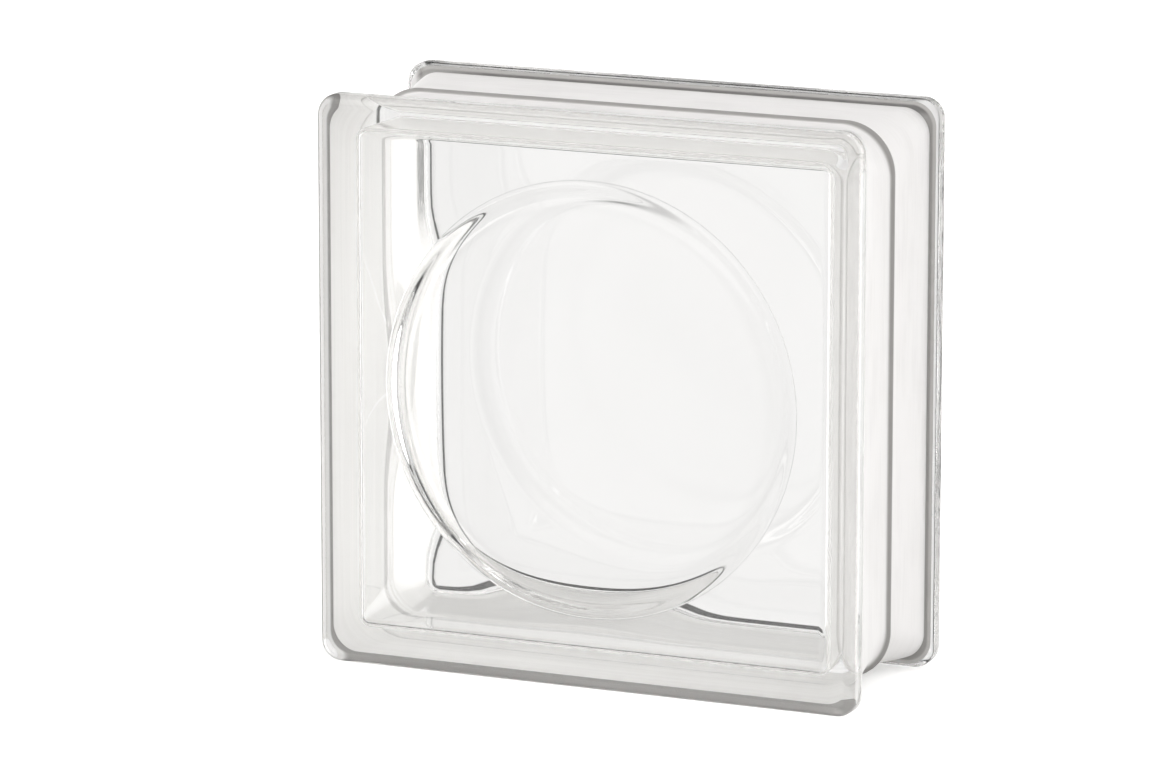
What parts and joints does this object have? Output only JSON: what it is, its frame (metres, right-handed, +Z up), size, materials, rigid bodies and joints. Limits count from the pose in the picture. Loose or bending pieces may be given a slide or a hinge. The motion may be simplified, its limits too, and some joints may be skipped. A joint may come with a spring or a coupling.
{
  "type": "glass block",
  "caption": "Clear square hollow glass building block with a round dish in each pane, rounded face flanges and a white-coated mortar channel round its edge.",
  "frame": {"origin": "middle of the footprint that the block stands on, halfway between its two faces, at the level of the lower rims", "axes": "+X across the width to the right seen from the front, +Y through the depth from the front face to the rear face, +Z up"},
  "size_m": [0.19, 0.08, 0.19],
  "materials": {
    "clear_glass": "clear pressed soda-lime glass, fire-polished, with a faint grey-green tint in its thick edges; the mortar channel between the flanges carries a thin matt white coat"
  },
  "bodies": {
    "root": {"front_half": "clear_glass", "rear_half": "clear_glass"}
  },
  "joints": []
}
